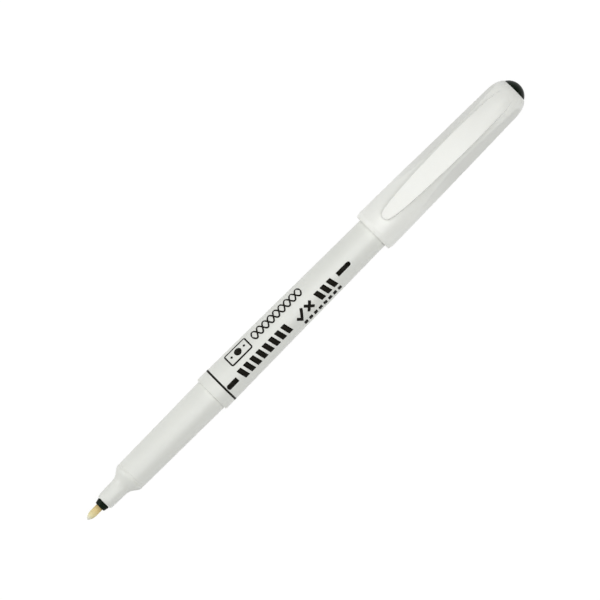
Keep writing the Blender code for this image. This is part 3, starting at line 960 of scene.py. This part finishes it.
def make_ring(ink):
    ring_end = RING_STATION + RING_WIDTH
    section = [
        (RING_STATION, barrel_radius(RING_STATION) + PRINT_PROUD),
        (ring_end, barrel_radius(ring_end) + PRINT_PROUD),
        (ring_end, barrel_radius(ring_end) - PRINT_DEPTH),
        (RING_STATION, barrel_radius(RING_STATION) - PRINT_DEPTH),
    ]
    dress(turned("print_ring", section), ink, "pen_body", "print_ink")


def make_print():
    """A ring, two dashes, slanted bars, a tick, a cross, a banknote, a braid and a row of dots."""
    ink = print_ink()
    make_ring(ink)
    dashes = [
        bar_outline(48.0, 51.5, 1.68, 3.05, start_round=DASH_ROUND, end_round=0.0),
        bar_outline(87.4, 91.9, 1.1, 2.4, start_round=0.0, end_round=DASH_ROUND),
    ]
    wrap_round_barrel("print_dashes", dashes, ink)
    places = [*steps(52.9, 68.3, 7), *steps(80.0, 84.4, 2)]
    bars = [bar_outline(x, x + BAR_LENGTH, *BAR_ARCS, BAR_ROUND, slant=BAR_SLANT) for x in places]
    wrap_round_barrel("print_bars", bars, ink)
    tick = tick_outline(73.8, SIGN_ARC, 2.7, SIGN_STROKE)
    cross = cross_outline(77.0, SIGN_ARC, 2.9, SIGN_STROKE)
    wrap_round_barrel("print_signs", [tick, cross], ink)
    note = frame_quads(52.7, 60.0, low=-4.6, high=-0.5, rounding=0.6, width=0.42)
    note += [disc_outline(56.35, NOTE_ARC, 1.05)]
    note += [disc_outline(x, NOTE_ARC, 0.32) for x in (54.2, 58.5)]
    wrap_round_barrel("print_note", note, ink)
    braid = braid_quads(61.3, 78.3, arc=-2.6, amplitude=1.2, loops=9, width=0.45)
    wrap_round_barrel("print_braid", braid, ink)
    dots = [bar_outline(x, x + DOT_LENGTH, *DOT_ARCS, DOT_ROUND) for x in steps(73.2, 85.1, 7)]
    wrap_round_barrel("print_dots", dots, ink)


# Floor, light and camera


def view_directions():
    """The direction back to the camera, and the one across the pen that runs down the picture."""
    backward = Vector((0, -math.sin(VIEW_ROLL), math.cos(VIEW_ROLL)))
    return backward, Vector((1, 0, 0)).cross(backward)


def make_floor():
    """A pale table with a fine matt grain. It glows like a light table, so shadows on it stay faint."""
    mesh = bpy.data.meshes.new("floor")
    half = FLOOR_HALF_WIDTH_METRES
    corners = [(-half, -half, 0), (half, -half, 0), (half, half, 0), (-half, half, 0)]
    mesh.from_pydata(corners, [], [(0, 1, 2, 3)])
    floor = bpy.data.objects.new("floor", mesh)
    floor.location.z = cad_box[0][2] - FLOOR_DROP * MM
    bpy.context.scene.collection.objects.link(floor)
    material, tree, shader = new_material("floor_look")
    grain = noise(tree, 700, detail=3)
    greys = ramp(tree, grain, (0.3, FLOOR_GREYS[0]), (0.7, FLOOR_GREYS[1]))
    tree.links.new(greys, shader.inputs["Base Color"])
    shader.inputs["Roughness"].default_value = 0.9
    shader.inputs["Specular IOR Level"].default_value = 0.1
    shader.inputs["Emission Color"].default_value = (1, 1, 1, 1)
    shader.inputs["Emission Strength"].default_value = FLOOR_GLOW
    mesh.materials.append(material)


def make_lamp(name, across_angle, along_angle, power):
    """A square softbox that faces the pen."""
    backward, across = view_directions()
    sideways, lengthways = math.radians(across_angle), math.radians(along_angle)
    toward = (backward * math.cos(sideways) + across * math.sin(sideways)) * math.cos(lengthways)
    toward += Vector((1, 0, 0)) * math.sin(lengthways)
    data = bpy.data.lights.new(name, "AREA")
    data.size = LAMP_SIZE * MM
    data.energy = power
    lamp = bpy.data.objects.new(name, data)
    lamp.location = toward * LAMP_DISTANCE * MM
    lamp.rotation_euler = toward.to_track_quat("Z", "Y").to_euler()
    bpy.context.scene.collection.objects.link(lamp)


def make_lights():
    """A faint even sky and the four softboxes."""
    world = bpy.data.worlds.new("studio")
    world.use_nodes = True
    sky = world.node_tree.nodes["Background"]
    sky.inputs["Color"].default_value = (1, 1, 1, 1)
    sky.inputs["Strength"].default_value = SKY_STRENGTH
    bpy.context.scene.world = world
    for name, settings in LAMPS.items():
        make_lamp(name, *settings)
    bpy.context.scene.view_settings.view_transform = "Standard"


def make_camera():
    """Looks almost straight down, rolled so that the pen runs from the lower left to the upper right."""
    backward, across = view_directions()
    along = Vector((1, 0, 0))
    right = along * math.cos(PEN_TILT_IN_PICTURE) + across * math.sin(PEN_TILT_IN_PICTURE)
    up = along * math.sin(PEN_TILT_IN_PICTURE) - across * math.cos(PEN_TILT_IN_PICTURE)
    middle = Vector(((cad_box[0][0] + cad_box[1][0]) / 2, 0, AXIS_HEIGHT * MM))
    target = middle - right * PICTURE_OFFSET[0] * MM - up * PICTURE_OFFSET[1] * MM
    data = bpy.data.cameras.new("camera")
    data.sensor_width = SENSOR_WIDTH
    data.lens = SENSOR_WIDTH * CAMERA_DISTANCE / PICTURE_WIDTH
    data.clip_end = CAMERA_FAR_METRES
    camera = bpy.data.objects.new("camera", data)
    turn = Matrix((right, up, backward)).transposed()
    camera.matrix_world = Matrix.Translation(target + backward * CAMERA_DISTANCE * MM) @ turn.to_4x4()
    bpy.context.scene.collection.objects.link(camera)
    bpy.context.scene.camera = camera


make_camera()
make_floor()
make_lights()
make_nib()
make_nib_holder()
make_front_section()
make_barrel()
improve_hidden_nodes()
make_cap_shell()
make_clip()
make_cap_plug()
make_liner()
make_print()
